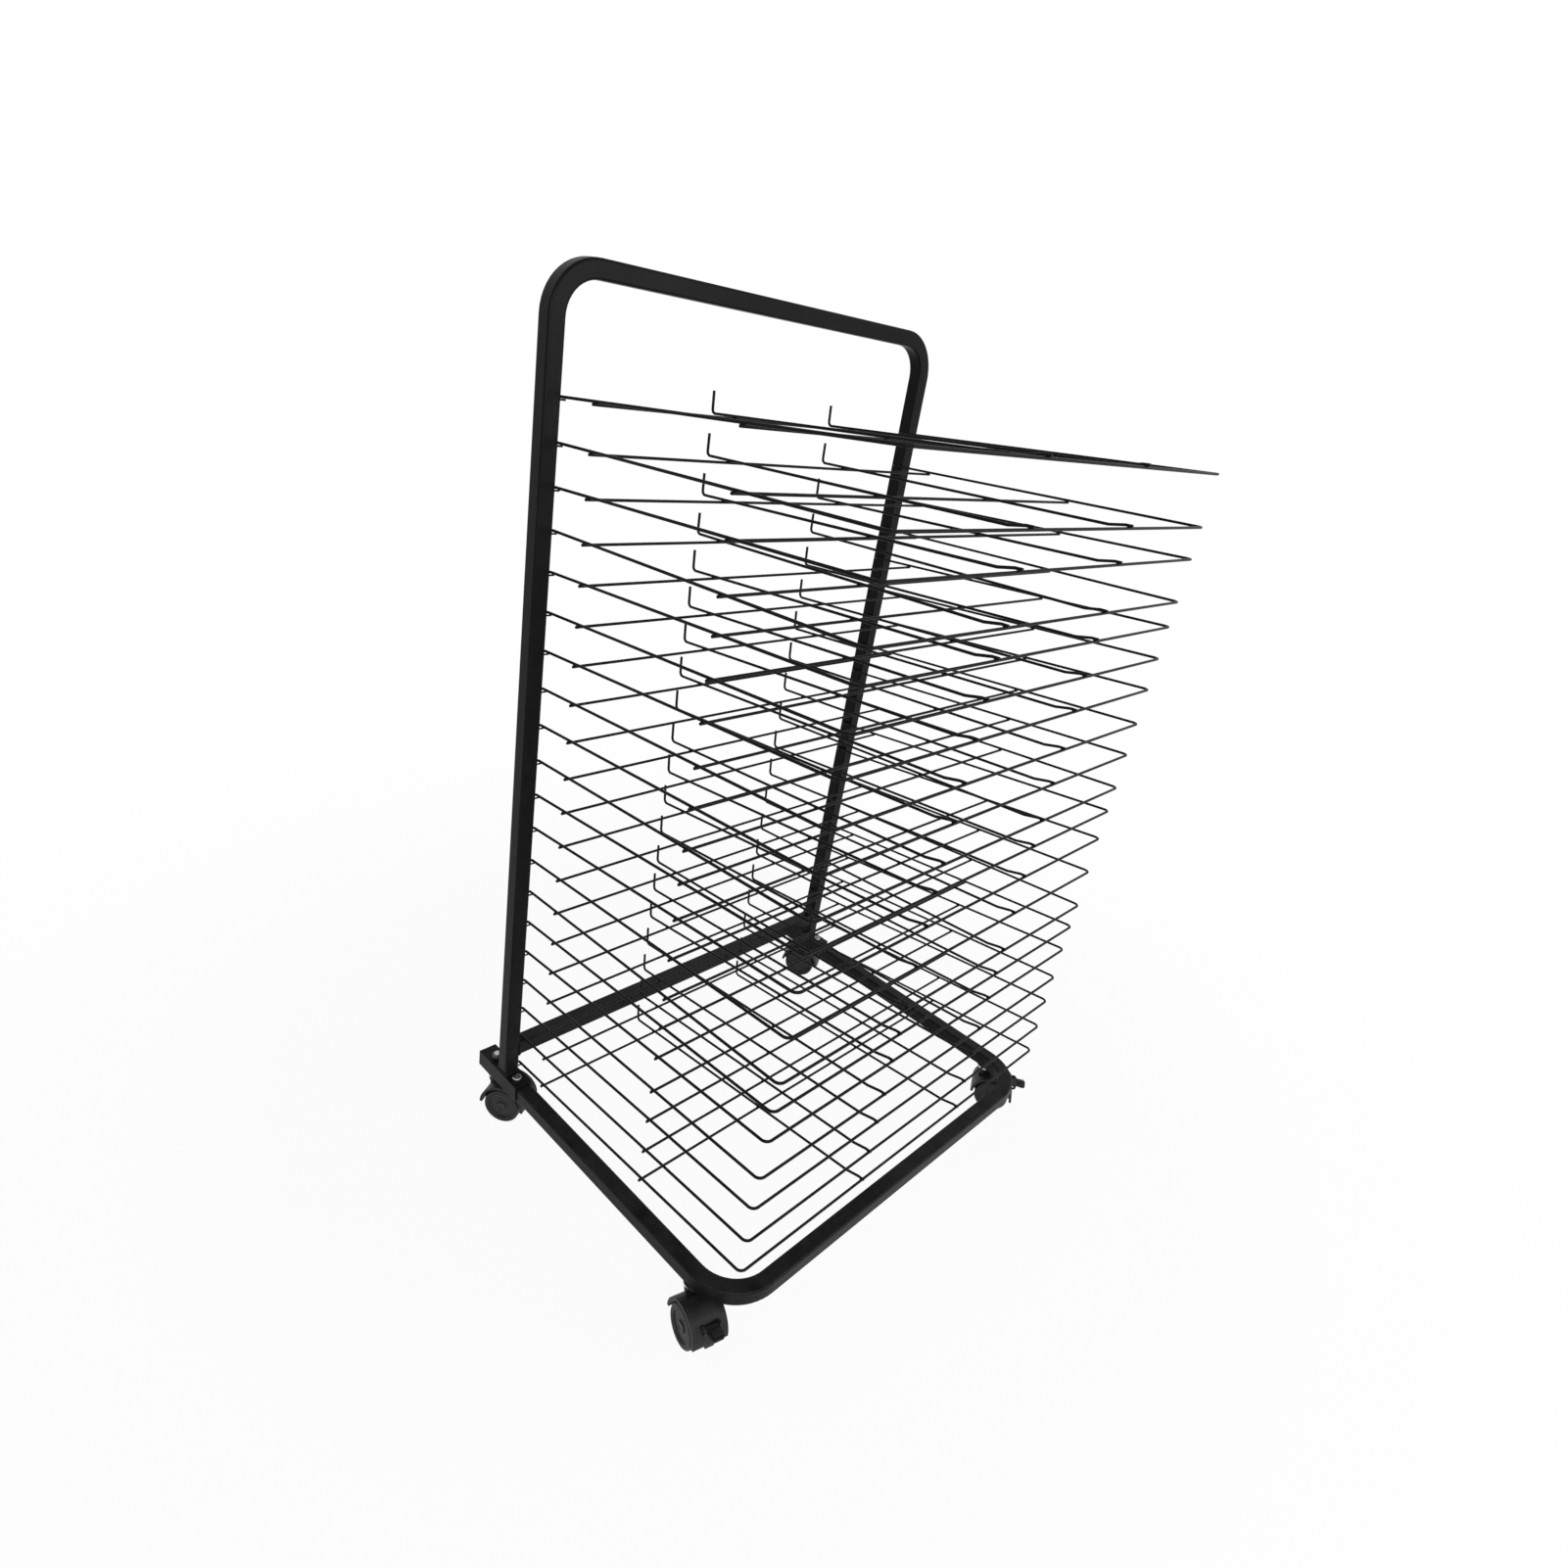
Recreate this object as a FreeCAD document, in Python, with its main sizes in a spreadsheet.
"""Mobile drying rack for artwork: an upright tube frame on a wheeled base, with twenty wire shelves.

+X runs across the rack, -Y is the side the shelves reach out to, and +Z is up.
The origin is on the floor, under the middle of the rack.  Lengths are in millimetres.
"""
import FreeCAD
import Part
import math
import os

import Sketcher
from FreeCAD import Placement, Rotation, Vector

X_AXIS = Vector(1, 0, 0)
Y_AXIS = Vector(0, 1, 0)
Z_AXIS = Vector(0, 0, 1)

doc = FreeCAD.newDocument("DryingRack")

# ---------------------------------------------------------------- driving sizes

DRIVING = [
    ("FrameWidth", 580, "clear width between the two posts"),
    ("TubeSize", 20, "outside of the square tube"),
    ("TubeWall", 1.5, "wall of the square tube"),
    ("TubeCorner", 3, "outside corner radius of the square tube"),
    ("TopBend", 48, "centreline radius of the upright's bends"),
    ("BaseBend", 57, "centreline radius of the base's bends"),
    ("BaseReach", 442, "base front face ahead of the posts' front faces"),
    ("RailTail", 40, "rail behind the posts' rear faces"),
    ("CapFlange", 2, "head of a rail end cap"),
    ("CapPlug", 14, "plug of a rail end cap"),
    ("LowShelfRise", 6.3, "lowest shelf pivot above the rails"),
    ("ShelfSpacing", 44.6, "pivot to pivot of neighbouring shelves"),
    ("HandleRise", 131.3, "top of the upright above the highest shelf pivot"),
    ("PivotSetback", 12, "shelf pivots behind the posts' front faces"),
    ("PivotClearance", 0.06, "radial clearance of a shelf pivot in its hole"),
    ("WireDia", 3.2, "wire of the shelves"),
    ("ShelfReach", 450, "shelf pivot to the front wire"),
    ("ShelfInset", 6.6, "side wire inside the post's inner face at the pivot"),
    ("ShelfSplay", 16.1, "outward run of a side wire over its length"),
    ("PivotBend", 4, "bend radius at a shelf's pivot"),
    ("ShelfCorner", 7, "bend radius at a shelf's front corner"),
    ("FrontHook", 16, "front end of a side wire, turned inward to meet the front wire"),
    ("EndLap", 0.1, "lap of a side wire's front end into the front wire"),
    ("PivotReach", 8, "pivot end inside the post beyond its inner face"),
    ("CrossOneAt", 62, "first cross wire ahead of the pivot"),
    ("CrossTwoAt", 276, "second cross wire ahead of the pivot"),
    ("CrossStub", 3, "cross wire past the side wire's middle"),
    ("WeldSink", 0.3, "depth that welded wires press into each other"),
    ("StopOffset", 100, "stop wires either side of the middle"),
    ("StopAt", 26, "stop wire's upright end ahead of the pivot"),
    ("StopHeight", 24, "height of a stop wire's upright end"),
    ("StopStub", 3.5, "stop wire past the middle of the front wire"),
    ("StopStep", 18, "length over which a stop wire rises onto the front wire"),
    ("RestAhead", 6, "rest pin ahead of the shelf pivot"),
    ("RestPinDia", 2, "rest pin under a side wire"),
    ("RestGap", 0.1, "gap between a rest pin and its side wire"),
    ("RestOverhang", 0.5, "rest pin past its side wire"),
    ("BarGap", 2, "cross bar below the pivot wire above it"),
    ("SaddlePlate", 2, "plate thickness of a saddle"),
    ("SaddleFront", 28, "saddle ahead of the post's front face"),
    ("SaddleFlange", 20, "saddle's side flanges below its top plate"),
    ("BoltAhead", 12, "saddle bolt ahead of the post's front face"),
    ("BoltDia", 6, "saddle bolt shank"),
    ("BoltHeadDia", 12, "saddle bolt head"),
    ("BoltHeadRise", 3.4, "height of the saddle bolt head"),
    ("BoltHeadRound", 2, "rounding of the saddle bolt head"),
    ("SocketDia", 3.3, "round socket in the saddle bolt head"),
    ("SocketDepth", 1.9, "depth of that socket"),
    ("BoltTip", 1.5, "saddle bolt past its nut"),
    ("NutWidth", 10, "saddle nut across its flats"),
    ("NutHeight", 5, "height of the saddle nut"),
    ("NutCrown", 0.4, "bevel on the corners of a nut"),
    ("HoleClearance", 0.4, "diametral clearance of bolt and stud holes"),
    ("RearStudSetback", 37, "rear caster behind the posts' front faces"),
    ("FrontStudInset", 1, "front caster's stud behind the end of the base's bend"),
    ("StudDia", 8, "threaded stud of a caster"),
    ("FrontStudRise", 15, "front caster stud above the rail's underside"),
    ("StudNutWidth", 13, "nut on a rear caster stud, across its flats"),
    ("StudNutHeight", 6.5, "height of the nut on a rear caster stud"),
    ("StudTip", 1.5, "rear caster stud past its nut"),
    ("StemFlangeDia", 22, "flange of a caster stem under the rail"),
    ("StemFlangeRise", 3, "thickness of the caster stem flange"),
    ("StemPinDia", 8, "swivel pin of a caster stem"),
    ("StemPinLength", 17, "swivel pin below the flange"),
    ("SwivelGap", 0.5, "gap between the stem flange and the hood collar"),
    ("RunClearance", 0.05, "radial clearance of swivel pins and axles"),
    ("WheelDia", 50, "caster wheel"),
    ("WheelWidth", 15, "tread width of one wheel"),
    ("WheelInner", 6.5, "inner face of a wheel from the caster's middle"),
    ("WheelRound", 2.5, "rounding of a wheel's tread edges"),
    ("DishDia", 36, "dished part of a wheel's outer face"),
    ("DishDepth", 2, "depth of the dish"),
    ("HubDia", 14, "raised hub inside the dish"),
    ("AxleDia", 6, "caster axle"),
    ("AxleBevel", 0.6, "bevel on an axle's ends"),
    ("Trail", 20, "axle behind the swivel pin"),
    ("WebWidth", 11, "middle web of a caster"),
    ("HoodGap", 3, "gap between a wheel and the hood"),
    ("HoodSkin", 3.5, "thickness of the hood"),
    ("HoodHalf", 22, "half the width of the hood"),
    ("CollarDia", 18, "collar on top of the hood"),
    ("CollarRise", 4, "top of that collar above the hood"),
    ("CollarHeight", 9, "height of that collar"),
    ("PedalWidth", 16, "brake pedal"),
    ("PedalLength", 18, "brake pedal beyond its pivot"),
    ("PedalSkin", 3, "thickness of the brake pedal"),
    ("PedalHubDia", 7, "hub of the brake pedal"),
    ("PedalRound", 4, "corner radius of the brake pedal"),
    ("PedalGap", 0.6, "gap between the hood and the pedal's hub"),
    ("PedalBearing", 38, "pedal pin above the axle as seen from it, in degrees"),
    ("PedalTilt", 12, "slope of the released pedal, outer end up, in degrees"),
    ("PedalPinDia", 3, "pivot pin of the brake pedal"),
    ("PedalEar", 2.5, "thickness of the ears that hold the brake pedal's pin"),
    ("EarGap", 0.4, "gap between an ear and the pedal"),
    ("EarRim", 1.6, "ear beyond the pedal's hub"),
]
DRIVING_NAMES = {entry[0] for entry in DRIVING}

SHELF_COUNT = 20
# Upward tilt of each shelf as it rests on its pins, from the top shelf down, in degrees.
SHELF_TILTS = (
    3.6, 1.6, 2.5, 1.6, 3.3, 3.8, 4.3, 4.1, 4.3, 4.0,
    5.3, 5.7, 4.9, 3.8, 5.0, 5.8, 5.4, 5.8, 5.7, 5.8,
)
# Heading of each caster in degrees: the way its wheels trail from the swivel pin, turned from +Y.
FRONT_LEFT_HEADING = 166.0
FRONT_RIGHT_HEADING = -152.0
REAR_LEFT_HEADING = 210.0
REAR_RIGHT_HEADING = -152.0
# A cutting tool passes the faces it cuts by this much.
PAST = 1.0

# Formulas that several pieces share.
DERIVED = [
    ("HoodInner", "=Dims.WheelDia / 2 + Dims.HoodGap"),
    ("HoodOuter", "=HoodInner + Dims.HoodSkin"),
    ("CollarTop", "=Dims.StemFlangeRise + Dims.SwivelGap"),
    ("AxleDrop", "=CollarTop + Dims.CollarRise + HoodOuter"),
    ("CasterHeight", "=AxleDrop + Dims.WheelDia / 2"),
    ("PostX", "=(Dims.FrameWidth + Dims.TubeSize) / 2"),
    ("RearEnd", "=Dims.TubeSize + Dims.RailTail + Dims.CapFlange"),
    ("PostFrontY", "=(Dims.BaseReach - Dims.TubeSize - Dims.RailTail - Dims.CapFlange) / 2"),
    ("PostY", "=PostFrontY + Dims.TubeSize / 2"),
    ("FrontRailY", "=PostFrontY - Dims.BaseReach + Dims.TubeSize / 2"),
    ("RailEndY", "=PostFrontY + Dims.TubeSize + Dims.RailTail"),
    ("RailMidZ", "=CasterHeight + Dims.TubeSize / 2"),
    ("RailTopZ", "=CasterHeight + Dims.TubeSize"),
    ("FootZ", "=RailTopZ + Dims.SaddlePlate"),
    ("LowPivotZ", "=RailTopZ + Dims.LowShelfRise"),
    ("TopPivotZ", "=LowPivotZ + %d * Dims.ShelfSpacing" % (SHELF_COUNT - 1)),
    ("UprightTopZ", "=TopPivotZ + Dims.HandleRise"),
    ("PivotY", "=PostFrontY + Dims.PivotSetback"),
    ("PivotHoleDia", "=Dims.WireDia + 2 * Dims.PivotClearance"),
    ("CrossBarTopZ", "=LowPivotZ + Dims.ShelfSpacing - Dims.WireDia / 2 - Dims.BarGap"),
    ("InnerTube", "=Dims.TubeSize - 2 * Dims.TubeWall"),
    ("InnerCorner", "=Dims.TubeCorner - Dims.TubeWall"),
    ("BoltY", "=PostFrontY - Dims.BoltAhead"),
    ("RearStudY", "=PostFrontY + Dims.RearStudSetback"),
    ("FrontStudY", "=FrontRailY + Dims.BaseBend + Dims.FrontStudInset"),
    ("HubFaceX", "=Dims.WheelInner + Dims.WheelWidth - Dims.DishDepth"),
    ("PedalAway", "=HoodOuter + Dims.PedalGap + Dims.PedalHubDia / 2"),
    ("PedalPinY", "=Dims.Trail + PedalAway * cos(Dims.PedalBearing)"),
    ("PedalPinZ", "=PedalAway * sin(Dims.PedalBearing) - AxleDrop"),
    ("EarX", "=Dims.PedalWidth / 2 + Dims.EarGap"),
]

dims = doc.addObject("Spreadsheet::Sheet", "Dims")
for row, (alias, value, note) in enumerate(DRIVING, start=1):
    dims.set("A%d" % row, alias)
    dims.set("B%d" % row, str(value))
    dims.set("C%d" % row, note)
    dims.setAlias("B%d" % row, alias)
layout = doc.addObject("Spreadsheet::Sheet", "Layout")
for row, (alias, formula) in enumerate(DERIVED, start=1):
    layout.set("A%d" % row, alias)
    layout.setAlias("B%d" % row, alias)
    layout.set("B%d" % row, formula)
doc.recompute()


def size(alias):
    """Value of a driving or derived size."""
    sheet = dims if alias in DRIVING_NAMES else layout
    return float(sheet.get(alias))


nodes = []


def keep(obj, label):
    """Name a finished piece and put it on the list of pieces."""
    obj.Label = label
    nodes.append(obj)
    return obj


def place(obj, at=("0", "0", "0"), axis=Z_AXIS, angle=0.0):
    """Turn a piece about an axis and tie its position to formulas."""
    obj.Placement = Placement(Vector(0, 0, 0), Rotation(axis, angle))
    for name, formula in zip("xyz", at):
        obj.setExpression("Placement.Base." + name, formula)
    return obj


# ---------------------------------------------------------------- sketch helpers

def new_body(name):
    """A PartDesign body."""
    return doc.addObject("PartDesign::Body", name)


def sketch_on(body, role, name):
    """An empty sketch on one of a body's own origin planes."""
    sketch = body.newObject("Sketcher::SketchObject", name)
    plane = [item for item in body.Origin.OriginFeatures if item.Role == role][0]
    sketch.AttachmentSupport = [(plane, "")]
    sketch.MapMode = "FlatFace"
    return sketch


def dimension(sketch, name, formula, *arguments):
    """A named dimensional constraint tied to a formula."""
    index = sketch.addConstraint(Sketcher.Constraint(*arguments))
    sketch.renameConstraint(index, name)
    sketch.setExpression("Constraints." + name, formula)


def line(ax, ay, bx, by):
    """A straight edge of a sketch."""
    return Part.LineSegment(Vector(ax, ay, 0), Vector(bx, by, 0))


def quarter_arc(cx, cy, radius, start):
    """A quarter turn of a circle, anticlockwise from an angle in quarter turns."""
    circle = Part.Circle(Vector(cx, cy, 0), Z_AXIS, radius)
    return Part.ArcOfCircle(circle, start * math.pi / 2, (start + 1) * math.pi / 2)


def rounded_square(sketch, name, left, low, side, corner, left_formula, low_formula,
                   side_formula, corner_formula):
    """A closed square with rounded corners.

    left and low are the distances from the middle of its lower left corner's arc to the sketch
    origin, leftward and downward.
    """
    flat = side - 2 * corner
    x0, y0 = -left, -low
    x1, y1 = x0 + flat, y0 + flat
    first = sketch.addGeometry([
        line(x0, y0 - corner, x1, y0 - corner),
        line(x1 + corner, y0, x1 + corner, y1),
        line(x1, y1 + corner, x0, y1 + corner),
        line(x0 - corner, y1, x0 - corner, y0),
        quarter_arc(x1, y0, corner, 3),
        quarter_arc(x1, y1, corner, 0),
        quarter_arc(x0, y1, corner, 1),
        quarter_arc(x0, y0, corner, 2),
    ], False)[0]
    g = [first + k for k in range(8)]
    for k in range(4):
        sketch.addConstraint(Sketcher.Constraint("Tangent", g[k], 2, g[4 + k], 1))
        sketch.addConstraint(Sketcher.Constraint("Tangent", g[4 + k], 2, g[(k + 1) % 4], 1))
    sketch.addConstraint(Sketcher.Constraint("Horizontal", g[0]))
    sketch.addConstraint(Sketcher.Constraint("Vertical", g[1]))
    sketch.addConstraint(Sketcher.Constraint("Horizontal", g[2]))
    sketch.addConstraint(Sketcher.Constraint("Vertical", g[3]))
    flat_formula = "%s - 2 * (%s)" % (side_formula, corner_formula)
    dimension(sketch, name + "Corner", corner_formula, "Radius", g[7], corner)
    dimension(sketch, name + "Wide", flat_formula, "DistanceX", g[7], 3, g[4], 3, flat)
    dimension(sketch, name + "High", flat_formula, "DistanceY", g[7], 3, g[6], 3, flat)
    dimension(sketch, name + "Left", left_formula, "DistanceX", g[7], 3, -1, 1, left)
    dimension(sketch, name + "Low", low_formula, "DistanceY", g[7], 3, -1, 1, low)
    for k in (4, 5):
        sketch.addConstraint(Sketcher.Constraint("Equal", g[7], g[k]))


def tube_section(sketch, middle, middle_formula):
    """Both outlines of the square tube, its middle a distance left of the sketch origin."""
    outer, corner = size("TubeSize"), size("TubeCorner")
    inner, inner_corner = size("InnerTube"), size("InnerCorner")
    half, inner_half = outer / 2 - corner, inner / 2 - inner_corner
    rounded_square(sketch, "Outer", middle + half, half, outer, corner,
                   middle_formula + " + Dims.TubeSize / 2 - Dims.TubeCorner",
                   "Dims.TubeSize / 2 - Dims.TubeCorner", "Dims.TubeSize", "Dims.TubeCorner")
    rounded_square(sketch, "Inner", middle + inner_half, inner_half, inner, inner_corner,
                   middle_formula + " + Layout.InnerTube / 2 - Layout.InnerCorner",
                   "Layout.InnerTube / 2 - Layout.InnerCorner", "Layout.InnerTube",
                   "Layout.InnerCorner")


def bent_path(sketch, half, reach, radius, span_formula, reach_formula, radius_formula, up):
    """A U of two legs, two quarter bends and a bridge, its open ends on the sketch's x axis."""
    sign = 1 if up else -1
    bridge = sign * reach
    turn = bridge - sign * radius
    left_start, right_start = (1, 0) if up else (2, 3)
    sketch.addGeometry([
        line(-half, 0, -half, turn),
        quarter_arc(-half + radius, turn, radius, left_start),
        line(-half + radius, bridge, half - radius, bridge),
        quarter_arc(half - radius, turn, radius, right_start),
        line(half, turn, half, 0),
    ], False)
    # An arc always runs anticlockwise, so which of its ends meets a line depends on the way up.
    near, far = (2, 1) if up else (1, 2)
    for first, first_end, second, second_end in (
            (0, 2, 1, near), (1, far, 2, 1), (2, 2, 3, near), (3, far, 4, 1)):
        sketch.addConstraint(Sketcher.Constraint("Tangent", first, first_end, second, second_end))
    sketch.addConstraint(Sketcher.Constraint("Vertical", 0))
    sketch.addConstraint(Sketcher.Constraint("Horizontal", 2))
    sketch.addConstraint(Sketcher.Constraint("Vertical", 4))
    sketch.addConstraint(Sketcher.Constraint("PointOnObject", 0, 1, -1))
    sketch.addConstraint(Sketcher.Constraint("Symmetric", 0, 1, 4, 2, -2))
    sketch.addConstraint(Sketcher.Constraint("Equal", 1, 3))
    dimension(sketch, "Bend", radius_formula, "Radius", 1, radius)
    dimension(sketch, "Span", span_formula, "DistanceX", 0, 1, 4, 2, 2 * half)
    if up:
        dimension(sketch, "Reach", reach_formula, "DistanceY", -1, 1, 2, 1, reach)
    else:
        dimension(sketch, "Reach", reach_formula, "DistanceY", 2, 1, -1, 1, reach)


def pipe(body, profile, path):
    """Sweep a section along every edge of a path."""
    sweep = body.newObject("PartDesign::AdditivePipe", body.Name + "Tube")
    sweep.Profile = profile
    sweep.Spine = (path, ["Edge%d" % (k + 1) for k in range(path.GeometryCount)])
    body.Tip = sweep
    doc.recompute()
    return sweep


def drill(body, sketch, depth_formula=None, both_ways=False, reverse=False):
    """Cut a sketch's circles out of a body, and make sure that something was cut."""
    before = body.Shape.Volume
    pocket = body.newObject("PartDesign::Pocket", sketch.Name + "Cut")
    pocket.Profile = sketch
    pocket.SideType = "Symmetric" if both_ways else "One side"
    pocket.Reversed = reverse
    if depth_formula is None:
        pocket.Type = "ThroughAll"
    else:
        pocket.Type = "Length"
        pocket.setExpression("Length", depth_formula)
    body.Tip = pocket
    doc.recompute()
    if body.Shape.Volume >= before:
        raise RuntimeError(body.Name + ": the holes cut nothing")
    return pocket


def circle_at(sketch, name, x, y, diameter, x_formula, y_formula, diameter_formula):
    """A circle tied to formulas; the sign of x and y picks the side of the sketch origin."""
    index = sketch.addGeometry(
        Part.Circle(Vector(x, y, 0), Z_AXIS, diameter / 2), False)
    dimension(sketch, name + "Dia", diameter_formula, "Diameter", index, diameter)
    ends_x = (-1, 1, index, 3) if x > 0 else (index, 3, -1, 1)
    ends_y = (-1, 1, index, 3) if y > 0 else (index, 3, -1, 1)
    if x == 0:
        sketch.addConstraint(Sketcher.Constraint("PointOnObject", index, 3, -2))
    else:
        dimension(sketch, name + "X", x_formula, "DistanceX", *ends_x, abs(x))
    if y == 0:
        sketch.addConstraint(Sketcher.Constraint("PointOnObject", index, 3, -1))
    else:
        dimension(sketch, name + "Y", y_formula, "DistanceY", *ends_y, abs(y))


# ---------------------------------------------------------------- upright frame

def make_upright():
    """The two posts and the top bar, one bent tube, with a row of pivot holes in each post."""
    body = new_body("UprightFrame")
    place(body, ("0", "Layout.PostY", "Layout.FootZ"))
    section = sketch_on(body, "XY_Plane", "UprightSection")
    tube_section(section, size("PostX"), "Layout.PostX")
    path = sketch_on(body, "XZ_Plane", "UprightPath")
    bent_path(path, size("PostX"), size("UprightTopZ") - size("FootZ") - size("TubeSize") / 2,
              size("TopBend"), "2 * Layout.PostX",
              "Layout.UprightTopZ - Layout.FootZ - Dims.TubeSize / 2", "Dims.TopBend", up=True)
    pipe(body, section, path)
    hole = sketch_on(body, "YZ_Plane", "PivotHole")
    circle_at(hole, "Pivot", size("PivotSetback") - size("TubeSize") / 2,
              size("LowPivotZ") - size("FootZ"), size("PivotHoleDia"),
              "Dims.PivotSetback - Dims.TubeSize / 2", "Layout.LowPivotZ - Layout.FootZ",
              "Layout.PivotHoleDia")
    pocket = drill(body, hole, "Dims.FrameWidth + 3 * Dims.TubeWall", both_ways=True)
    before = body.Shape.Volume
    row = body.newObject("PartDesign::LinearPattern", "PivotHoleRow")
    row.Originals = [pocket]
    row.Direction = (hole, ["V_Axis"])
    row.setExpression("Length", "%d * Dims.ShelfSpacing" % (SHELF_COUNT - 1))
    row.Occurrences = SHELF_COUNT
    body.Tip = row
    doc.recompute()
    if body.Shape.Volume >= before:
        raise RuntimeError("the pivot holes were not repeated")
    return keep(body, "upright_frame")


def make_cross_bar():
    """The bar between the posts, just under the second lowest shelf's pivots."""
    body = new_body("CrossBar")
    place(body, ("0", "Layout.PostY", "Layout.CrossBarTopZ - Dims.TubeSize / 2"))
    section = sketch_on(body, "YZ_Plane", "CrossBarSection")
    tube_section(section, 0.0, "0")
    pad = body.newObject("PartDesign::Pad", "CrossBarTube")
    pad.Profile = section
    pad.SideType = "Symmetric"
    pad.setExpression("Length", "Dims.FrameWidth")
    body.Tip = pad
    return keep(body, "rear_cross_bar")


# ---------------------------------------------------------------- base

def make_base():
    """The wheeled base: one tube bent to a U, with its open ends behind the posts."""
    body = new_body("BaseFrame")
    place(body, ("0", "Layout.RailEndY", "Layout.RailMidZ"))
    section = sketch_on(body, "XZ_Plane", "BaseSection")
    tube_section(section, size("PostX"), "Layout.PostX")
    path = sketch_on(body, "XY_Plane", "BasePath")
    bent_path(path, size("PostX"), size("RailEndY") - size("FrontRailY"), size("BaseBend"),
              "2 * Layout.PostX", "Layout.RailEndY - Layout.FrontRailY", "Dims.BaseBend",
              up=False)
    pipe(body, section, path)
    through = sketch_on(body, "XY_Plane", "BaseThroughHoles")
    under = sketch_on(body, "XY_Plane", "BaseStudHoles")
    stud = size("StudDia") + size("HoleClearance")
    bolt = size("BoltDia") + size("HoleClearance")
    end = size("RailEndY")
    for side, name in ((-1, "Left"), (1, "Right")):
        circle_at(through, name + "Bolt", side * size("PostX"), size("BoltY") - end, bolt,
                  "Layout.PostX", "Layout.RailEndY - Layout.BoltY",
                  "Dims.BoltDia + Dims.HoleClearance")
        circle_at(through, name + "Stud", side * size("PostX"), size("RearStudY") - end, stud,
                  "Layout.PostX", "Layout.RailEndY - Layout.RearStudY",
                  "Dims.StudDia + Dims.HoleClearance")
        circle_at(under, name + "Front", side * size("PostX"), size("FrontStudY") - end, stud,
                  "Layout.PostX", "Layout.RailEndY - Layout.FrontStudY",
                  "Dims.StudDia + Dims.HoleClearance")
    drill(body, through, "2 * Dims.TubeSize", both_ways=True)
    drill(body, under, "Dims.TubeSize")
    return keep(body, "base_frame")


def make_saddle(side, label):
    """The channel that straddles a rail and carries a post."""
    body = new_body(label.title().replace("_", ""))
    place(body, ("%d * Layout.PostX" % side, "Layout.PostFrontY", "Layout.FootZ"))
    plate, half = size("SaddlePlate"), size("TubeSize") / 2
    flange = size("SaddleFlange")
    outline = sketch_on(body, "XZ_Plane", label + "_outline")
    corners = [
        (-half - plate, 0), (half + plate, 0), (half + plate, -plate - flange),
        (half, -plate - flange), (half, -plate), (-half, -plate),
        (-half, -plate - flange), (-half - plate, -plate - flange),
    ]
    count = len(corners)
    outline.addGeometry(
        [line(*corners[k], *corners[(k + 1) % count]) for k in range(count)], False)
    for k in range(count):
        outline.addConstraint(Sketcher.Constraint("Coincident", k, 2, (k + 1) % count, 1))
    for k in (1, 3, 5, 7):
        outline.addConstraint(Sketcher.Constraint("Vertical", k))
    for k in (2, 6):
        outline.addConstraint(Sketcher.Constraint("Horizontal", k))
    outline.addConstraint(Sketcher.Constraint("PointOnObject", 0, 1, -1))
    outline.addConstraint(Sketcher.Constraint("Symmetric", 0, 1, 0, 2, -2))
    outline.addConstraint(Sketcher.Constraint("Symmetric", 4, 1, 4, 2, -2))
    outline.addConstraint(Sketcher.Constraint("Equal", 1, 7))
    dimension(outline, "Wide", "Dims.TubeSize + 2 * Dims.SaddlePlate", "DistanceX",
              0, 1, 0, 2, 2 * (half + plate))
    dimension(outline, "Inside", "Dims.TubeSize", "DistanceX", 4, 2, 4, 1, 2 * half)
    dimension(outline, "Plate", "Dims.SaddlePlate", "DistanceY", 4, 1, -1, 1, plate)
    dimension(outline, "Drop", "Dims.SaddlePlate + Dims.SaddleFlange", "DistanceY",
              1, 2, 1, 1, plate + flange)
    pad = body.newObject("PartDesign::Pad", label + "_channel")
    pad.Profile = outline
    pad.SideType = "Two sides"
    pad.setExpression("Length", "Dims.SaddleFront")
    pad.setExpression("Length2", "Layout.RearEnd")
    body.Tip = pad
    doc.recompute()
    holes = sketch_on(body, "XY_Plane", label + "_holes")
    circle_at(holes, "Bolt", 0, -size("BoltAhead"), size("BoltDia") + size("HoleClearance"),
              "0", "Dims.BoltAhead", "Dims.BoltDia + Dims.HoleClearance")
    circle_at(holes, "Stud", 0, size("RearStudSetback"),
              size("StudDia") + size("HoleClearance"), "0", "Dims.RearStudSetback",
              "Dims.StudDia + Dims.HoleClearance")
    drill(body, holes, "3 * Dims.SaddlePlate", both_ways=True)
    return keep(body, label)


# ---------------------------------------------------------------- small solids from Part's own calls

def rod(at, along, diameter, length):
    """A round bar."""
    return Part.makeCylinder(diameter / 2, length, at, along)


def hexagon(at, across, height, bore):
    """A nut standing on a point, with a plain bore and its top corners beveled."""
    radius = across / math.sqrt(3)
    bevel = size("NutCrown")
    ring = [
        at + Vector(radius * math.cos(math.radians(60 * k)),
                    radius * math.sin(math.radians(60 * k)), 0)
        for k in range(6)
    ]
    block = Part.Face(Part.makePolygon(ring + ring[:1])).extrude(Vector(0, 0, height))
    crown = Part.makeCone(radius - bevel + height, radius - bevel, height, at, Z_AXIS)
    return block.common(crown).cut(rod(at, Z_AXIS, bore, height))


def feature(label, solids, at=("0", "0", "0"), axis=Z_AXIS, angle=0.0):
    """A piece, or a group of like pieces, whose shape is made by the calls above."""
    obj = doc.addObject("Part::Feature", label.title().replace("_", ""))
    obj.Shape = solids[0] if len(solids) == 1 else Part.makeCompound(solids)
    place(obj, at, axis, angle)
    return keep(obj, label)


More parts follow.
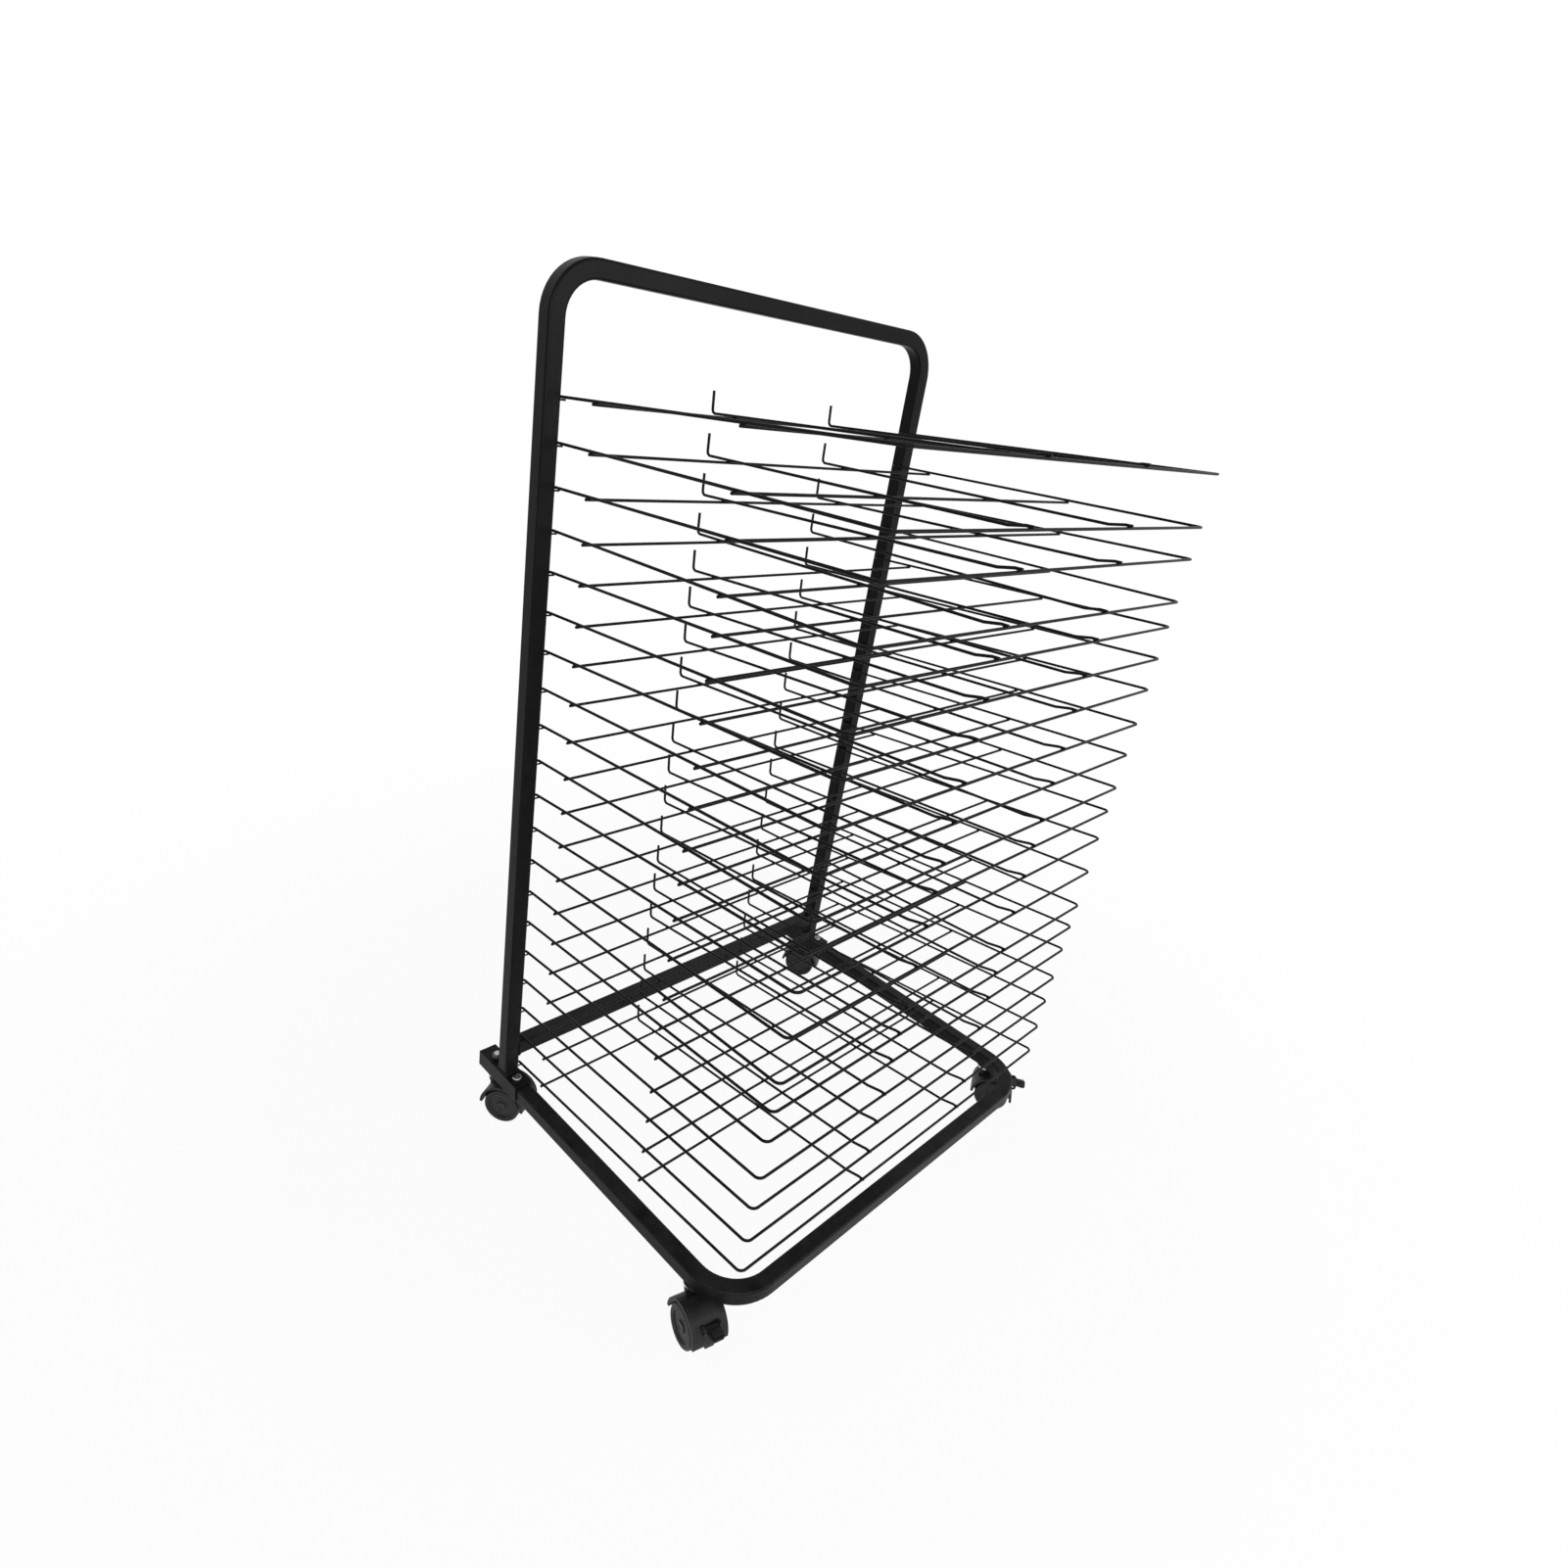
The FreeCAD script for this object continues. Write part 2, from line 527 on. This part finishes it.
def make_saddle_bolts():
    """Round-headed bolts through the saddles and rails, and their nuts under the rails."""
    bolt, head = size("BoltDia"), size("BoltHeadDia")
    rise = size("BoltHeadRise")
    grip = size("SaddlePlate") + size("TubeSize") + size("NutHeight") + size("BoltTip")
    bolts = []
    nuts = []
    for side in (-1, 1):
        top = Vector(side * size("PostX"), size("BoltY"), size("FootZ"))
        dome = Part.makeCylinder(head / 2, rise, top, Z_AXIS)
        crown = [edge for edge in dome.Edges if edge.CenterOfMass.z > top.z + rise / 2
                 and isinstance(edge.Curve, Part.Circle)]
        dome = dome.makeFillet(size("BoltHeadRound"), crown)
        socket = rod(top + Vector(0, 0, rise - size("SocketDepth")), Z_AXIS,
                     size("SocketDia"), rise)
        shank = rod(top, -Z_AXIS, bolt, grip)
        bolts.append(dome.cut(socket).fuse(shank).removeSplitter())
        low = Vector(top.x, top.y, size("CasterHeight") - size("NutHeight"))
        nuts.append(hexagon(low, size("NutWidth"), size("NutHeight"), bolt))
    feature("saddle_bolts", bolts)
    feature("saddle_bolt_nuts", nuts)


def make_stud_nuts():
    """Nuts on the rear casters' studs, which clamp the saddles and rails."""
    nuts = []
    for side in (-1, 1):
        at = Vector(side * size("PostX"), size("RearStudY"), size("FootZ"))
        nuts.append(hexagon(at, size("StudNutWidth"), size("StudNutHeight"), size("StudDia")))
    feature("caster_stud_nuts", nuts)


def square_block(side, depth, corner, x, start_y):
    """A block across a rail's own section, its four long edges rounded."""
    low = Vector(x - side / 2, start_y, size("RailMidZ") - side / 2)
    block = Part.makeBox(side, depth, side, low)
    long_edges = [edge for edge in block.Edges
                  if abs(edge.Vertexes[0].Y - edge.Vertexes[1].Y) > depth / 2]
    return block.makeFillet(corner, long_edges)


def make_end_caps():
    """Plastic plugs in the open rear ends of the rails."""
    end, plug = size("RailEndY"), size("CapPlug")
    caps = []
    for side in (-1, 1):
        x = side * size("PostX")
        head = square_block(size("TubeSize"), size("CapFlange"), size("TubeCorner"), x, end)
        stub = square_block(size("InnerTube"), plug, size("InnerCorner"), x, end - plug)
        caps.append(head.fuse(stub).removeSplitter())
    feature("rail_end_caps", caps)


# ---------------------------------------------------------------- shelves

def bent_wire(points, radii, diameter):
    """A round wire through points, with a tangent arc of the given radius at each inner point."""
    edges = []
    start = points[0]
    for k in range(1, len(points) - 1):
        corner = points[k]
        back = (points[k - 1] - corner).normalize()
        ahead = (points[k + 1] - corner).normalize()
        turn = math.pi - back.getAngle(ahead)
        run = radii[k - 1] * math.tan(turn / 2)
        enter = corner + back * run
        leave = corner + ahead * run
        middle_way = (back + ahead).normalize()
        middle = corner + middle_way * (radii[k - 1] / math.cos(turn / 2) - radii[k - 1])
        edges.append(Part.makeLine(start, enter))
        edges.append(Part.Arc(enter, middle, leave).toShape())
        start = leave
    edges.append(Part.makeLine(start, points[-1]))
    path = Part.Wire(edges)
    section = Part.Wire([Part.makeCircle(diameter / 2, points[0], points[1] - points[0])])
    wire = path.makePipeShell([section], True, False)
    expected = math.pi * diameter ** 2 / 4 * path.Length
    if not wire.isValid() or abs(wire.Volume / expected - 1) > 0.01:
        raise RuntimeError("a bent wire came out wrong")
    return wire


def side_wire_x(ahead):
    """Middle of a side wire at a distance ahead of the pivot."""
    at_pivot = size("FrameWidth") / 2 - size("ShelfInset")
    return at_pivot + size("ShelfSplay") * ahead / size("ShelfReach")


def shelf_wires():
    """The wires of one level shelf, its pivot line on the x axis and its front towards -Y."""
    wire = size("WireDia")
    reach = size("ShelfReach")
    end = size("FrameWidth") / 2 + size("PivotReach")
    rear, front = side_wire_x(0), side_wire_x(reach)
    meeting = front - size("FrontHook")
    seat = wire - size("WeldSink")
    half_front = meeting + size("EndLap")
    solids = [rod(Vector(-half_front, -reach, 0), X_AXIS, wire, 2 * half_front)]
    for side in (-1, 1):
        solids.append(bent_wire(
            [Vector(side * end, 0, 0), Vector(side * rear, 0, 0), Vector(side * front, -reach, 0),
             Vector(side * meeting, -reach, 0)],
            [size("PivotBend"), size("ShelfCorner")], wire))
    for ahead in (size("CrossOneAt"), size("CrossTwoAt")):
        half = side_wire_x(ahead) + size("CrossStub")
        solids.append(rod(Vector(-half, -ahead, -seat), X_AXIS, wire, 2 * half))
    stop_at = size("StopAt")
    step_end = reach - 1.5 * wire
    step_start = step_end - size("StopStep")
    for side in (-1, 1):
        x = side * size("StopOffset")
        solids.append(bent_wire(
            [Vector(x, -stop_at, size("StopHeight")), Vector(x, -stop_at, 0),
             Vector(x, -step_start, 0), Vector(x, -step_end, seat),
             Vector(x, -reach - size("StopStub"), seat)],
            [1.5 * wire, 2 * wire, wire], wire))
    return solids


def make_shelves():
    """Twenty shelves, numbered from the top, each tilted up a little about its own pivots."""
    solids = shelf_wires()
    for number in range(1, SHELF_COUNT + 1):
        level = "Layout.TopPivotZ - %d * Dims.ShelfSpacing" % (number - 1)
        feature("shelf_%02d" % number, [s.copy() for s in solids],
                ("0", "Layout.PivotY", level), X_AXIS, -SHELF_TILTS[number - 1])


def make_rest_pins():
    """Short pins on the posts' inner faces that the side wires rest on."""
    pin = size("RestPinDia")
    drop = (size("WireDia") + pin) / 2 + size("RestGap")
    face = size("FrameWidth") / 2
    inset = face - side_wire_x(size("RestAhead"))
    pins = []
    for number, tilt in enumerate(SHELF_TILTS):
        lean = math.radians(tilt)
        level = size("TopPivotZ") - number * size("ShelfSpacing")
        ahead = size("RestAhead")
        y = size("PivotY") - ahead * math.cos(lean) - drop * math.sin(lean)
        z = level + ahead * math.sin(lean) - drop * math.cos(lean)
        length = inset + size("WireDia") / 2 + size("RestOverhang")
        for side in (-1, 1):
            pins.append(rod(Vector(side * face, y, z), X_AXIS * -side, pin, length))
    feature("shelf_rest_pins", pins)


# ---------------------------------------------------------------- casters

def primitive(kind, name, at=("0", "0", "0"), axis=Z_AXIS, angle=0.0, **formulas):
    """A Part primitive with its sizes and its place tied to formulas."""
    obj = doc.addObject("Part::" + kind, name)
    for key, formula in formulas.items():
        obj.setExpression(key, formula)
    return place(obj, at, axis, angle)


def crossways(name, start, at_y, at_z, radius, length, turn=90):
    """A cylinder that lies along the caster's axle from a starting distance, either way."""
    return primitive("Cylinder", name, (start, at_y, at_z), Y_AXIS, turn,
                     Radius=radius, Height=length)


def on_axle(name, half, radius):
    """A cylinder about the caster's axle, the same length to both sides."""
    return crossways(name, "-(%s)" % half, "Dims.Trail", "-Layout.AxleDrop", radius,
                     "2 * (%s)" % half)


def fused(name, pieces):
    """Several shapes joined into one."""
    obj = doc.addObject("Part::MultiFuse", name)
    obj.Shapes = pieces
    obj.Refine = True
    return obj


def cut(name, base, tool):
    """One shape with another taken out of it."""
    obj = doc.addObject("Part::Cut", name)
    obj.Base = base
    obj.Tool = tool
    obj.Refine = True
    return obj


def make_stem(prefix, spot, turn, stud_formula):
    """The fixed half of a caster: stud, flange and swivel pin, hung from the rail."""
    name = prefix.title().replace("_", "") + "Stem"
    stud = primitive("Cylinder", name + "Stud", Radius="Dims.StudDia / 2", Height=stud_formula)
    flange = primitive("Cylinder", name + "Flange", ("0", "0", "-Dims.StemFlangeRise"),
                       Radius="Dims.StemFlangeDia / 2", Height="Dims.StemFlangeRise")
    pin = primitive("Cylinder", name + "Pin",
                    ("0", "0", "-Dims.StemFlangeRise - Dims.StemPinLength"),
                    Radius="Dims.StemPinDia / 2", Height="Dims.StemPinLength")
    stem = fused(name, [stud, flange, pin])
    place(stem, spot, Z_AXIS, turn)
    return keep(stem, prefix + "_stem")


def above(name, disc, half, level):
    """What is left of a disc about the axle above a level measured from the axle."""
    deep = "2 * Layout.HoodOuter"
    low = primitive("Box", name + "Below",
                    ("-(%s) - %g" % (half, PAST), "Dims.Trail - Layout.HoodOuter - %g" % PAST,
                     "%s - Layout.AxleDrop - %s" % (level, deep)),
                    Length="2 * (%s) + 2 * %g" % (half, PAST),
                    Width="2 * Layout.HoodOuter + 2 * %g" % PAST, Height=deep)
    return cut(name, disc, low)


def pedal_ears(name):
    """Two ears behind the hood, one each side of the pedal."""
    ears = []
    for letter, start in (("A", "-Layout.EarX - Dims.PedalEar"), ("B", "Layout.EarX")):
        ears.append(crossways(name + "Ear" + letter, start, "Layout.PedalPinY",
                              "Layout.PedalPinZ", "Dims.PedalHubDia / 2 + Dims.EarRim",
                              "Dims.PedalEar"))
    return ears


def make_hood(prefix, spot, turn, braked):
    """The swivelling half: web, hood over the wheels and collar, bored for the pin and axle."""
    name = prefix.title().replace("_", "") + "Hood"
    shell = cut(name + "Shell", on_axle(name + "Skin", "Dims.HoodHalf", "Layout.HoodOuter"),
                on_axle(name + "Hollow", "Dims.HoodHalf + %g" % PAST, "Layout.HoodInner"))
    cover = above(name + "Cover", shell, "Dims.HoodHalf", "0")
    web = above(name + "Web", on_axle(name + "Disc", "Dims.WebWidth / 2", "Layout.HoodOuter"),
                "Dims.WebWidth / 2", "-Dims.AxleDia")
    block = primitive("Box", name + "Block",
                      ("-Dims.WebWidth / 2", "-Dims.WebWidth / 2", "-Layout.AxleDrop"),
                      Length="Dims.WebWidth", Width="Dims.WebWidth",
                      Height="Layout.AxleDrop - Layout.CollarTop")
    collar = primitive("Cylinder", name + "Collar",
                       ("0", "0", "-Layout.CollarTop - Dims.CollarHeight"),
                       Radius="Dims.CollarDia / 2", Height="Dims.CollarHeight")
    pieces = [cover, web, block, collar]
    bores = [
        primitive("Cylinder", name + "PinBore",
                  ("0", "0", "-Dims.StemFlangeRise - Dims.StemPinLength - %g" % PAST),
                  Radius="Dims.StemPinDia / 2 + Dims.RunClearance",
                  Height="Dims.StemPinLength + 2 * %g" % PAST),
        on_axle(name + "AxleBore", "Dims.WebWidth", "Dims.AxleDia / 2"),
    ]
    if braked:
        pieces += pedal_ears(name)
        bores.append(crossways(name + "PedalBore", "-Dims.PedalWidth", "Layout.PedalPinY",
                               "Layout.PedalPinZ", "Dims.PedalPinDia / 2",
                               "2 * Dims.PedalWidth"))
    hood = cut(name, fused(name + "Solid", pieces), fused(name + "Bores", bores))
    place(hood, spot, Z_AXIS, turn)
    return keep(hood, prefix + "_hood")


def rim_edges(disc):
    """Numbers of the round edges of a cylinder."""
    return [k + 1 for k, edge in enumerate(disc.Shape.Edges)
            if isinstance(edge.Curve, Part.Circle)]


def make_axle(prefix, spot, turn):
    """The axle, fixed in the web, that both wheels turn on."""
    name = prefix.title().replace("_", "") + "Axle"
    bar = on_axle(name + "Bar", "Layout.HubFaceX", "Dims.AxleDia / 2")
    doc.recompute()
    axle = doc.addObject("Part::Chamfer", name)
    axle.Base = bar
    axle.Edges = [(number, size("AxleBevel"), size("AxleBevel")) for number in rim_edges(bar)]
    place(axle, spot, Z_AXIS, turn)
    return keep(axle, prefix + "_axle")


def make_wheel(prefix, side, label, spot, turn):
    """One wheel: rounded tread, dished outer face and raised hub."""
    name = label.title().replace("_", "")
    out = 90 * side
    start = "%d * Dims.WheelInner" % side
    face = "%d * Layout.HubFaceX" % side
    centre = ("Dims.Trail", "-Layout.AxleDrop")
    disc = crossways(name + "Disc", start, *centre, "Dims.WheelDia / 2", "Dims.WheelWidth", out)
    doc.recompute()
    tread = doc.addObject("Part::Fillet", name + "Tread")
    tread.Base = disc
    tread.Edges = [(number, size("WheelRound"), size("WheelRound")) for number in rim_edges(disc)]
    ring = cut(name + "Dish",
               crossways(name + "DishRim", face, *centre, "Dims.DishDia / 2",
                         "2 * Dims.DishDepth", out),
               crossways(name + "Hub", face, *centre, "Dims.HubDia / 2",
                         "2 * Dims.DishDepth", out))
    bore = crossways(name + "Bore", start, *centre, "Dims.AxleDia / 2 + Dims.RunClearance",
                     "2 * Dims.WheelWidth", out)
    wheel = cut(name, tread, fused(name + "Cuts", [ring, bore]))
    place(wheel, spot, Z_AXIS, turn)
    return keep(wheel, label)


def make_pedal(prefix, spot, turn):
    """The brake pedal, a hub with a plate that stands out behind the wheels, and its pin."""
    middle = Vector(0, size("PedalPinY"), size("PedalPinZ"))
    width, hub, skin = size("PedalWidth"), size("PedalHubDia"), size("PedalSkin")
    left = middle - X_AXIS * (width / 2)
    plate = Part.makeBox(width, size("PedalLength"), skin, left + Vector(0, 0, hub / 2 - skin))
    tip = middle.y + size("PedalLength")
    corners = [edge for edge in plate.Edges
               if min(vertex.Y for vertex in edge.Vertexes) > tip - skin
               and abs(edge.Vertexes[0].X - edge.Vertexes[1].X) < skin]
    plate = plate.makeFillet(size("PedalRound"), corners)
    pedal = plate.fuse(rod(left, X_AXIS, hub, width)).removeSplitter()
    pedal = pedal.cut(rod(left - X_AXIS * PAST, X_AXIS,
                          size("PedalPinDia") + 2 * size("RunClearance"), width + 2 * PAST))
    pedal.rotate(middle, X_AXIS, size("PedalTilt"))
    reach = size("EarX") + size("PedalEar")
    pin = rod(middle - X_AXIS * reach, X_AXIS, size("PedalPinDia"), 2 * reach)
    feature(prefix + "_pedal", [pedal], spot, Z_AXIS, turn)
    feature(prefix + "_pedal_pin", [pin], spot, Z_AXIS, turn)


def make_caster(prefix, side, y_formula, heading, braked, stud_formula):
    """One caster, hung under a rail."""
    spot = ("%d * Layout.PostX" % side, y_formula, "Layout.CasterHeight")
    make_stem(prefix, spot, heading, stud_formula)
    make_hood(prefix, spot, heading, braked)
    make_axle(prefix, spot, heading)
    make_wheel(prefix, -1, prefix + "_wheel_a", spot, heading)
    make_wheel(prefix, 1, prefix + "_wheel_b", spot, heading)
    if braked:
        make_pedal(prefix, spot, heading)


# ---------------------------------------------------------------- the whole rack

make_upright()
make_cross_bar()
make_base()
make_saddle(-1, "left_saddle")
make_saddle(1, "right_saddle")
make_saddle_bolts()
make_stud_nuts()
make_end_caps()
make_rest_pins()
make_shelves()
FRONT_STUD = "Dims.FrontStudRise"
REAR_STUD = "Dims.TubeSize + Dims.SaddlePlate + Dims.StudNutHeight + Dims.StudTip"
for hand, sign, front_heading, rear_heading in (
        ("left", -1, FRONT_LEFT_HEADING, REAR_LEFT_HEADING),
        ("right", 1, FRONT_RIGHT_HEADING, REAR_RIGHT_HEADING)):
    make_caster("caster_front_" + hand, sign, "Layout.FrontStudY", front_heading, True,
                FRONT_STUD)
    make_caster("caster_rear_" + hand, sign, "Layout.RearStudY", rear_heading, False, REAR_STUD)

doc.recompute()
for item in doc.Objects:
    if "Invalid" in item.State or "Error" in item.State:
        raise RuntimeError("%s failed: %s" % (item.Label, item.State))
for node in nodes:
    if node.Shape.isNull() or not node.Shape.isValid():
        raise RuntimeError(node.Label + " has no valid shape")

os.makedirs("parts", exist_ok=True)
for node in nodes:
    node.Shape.exportStep(os.path.join("parts", node.Label + ".step"))
whole = Part.makeCompound([node.Shape for node in nodes]).BoundBox
print("pieces:", len(nodes))
print("box: x %.2f %.2f  y %.2f %.2f  z %.2f %.2f" % (
    whole.XMin, whole.XMax, whole.YMin, whole.YMax, whole.ZMin, whole.ZMax))
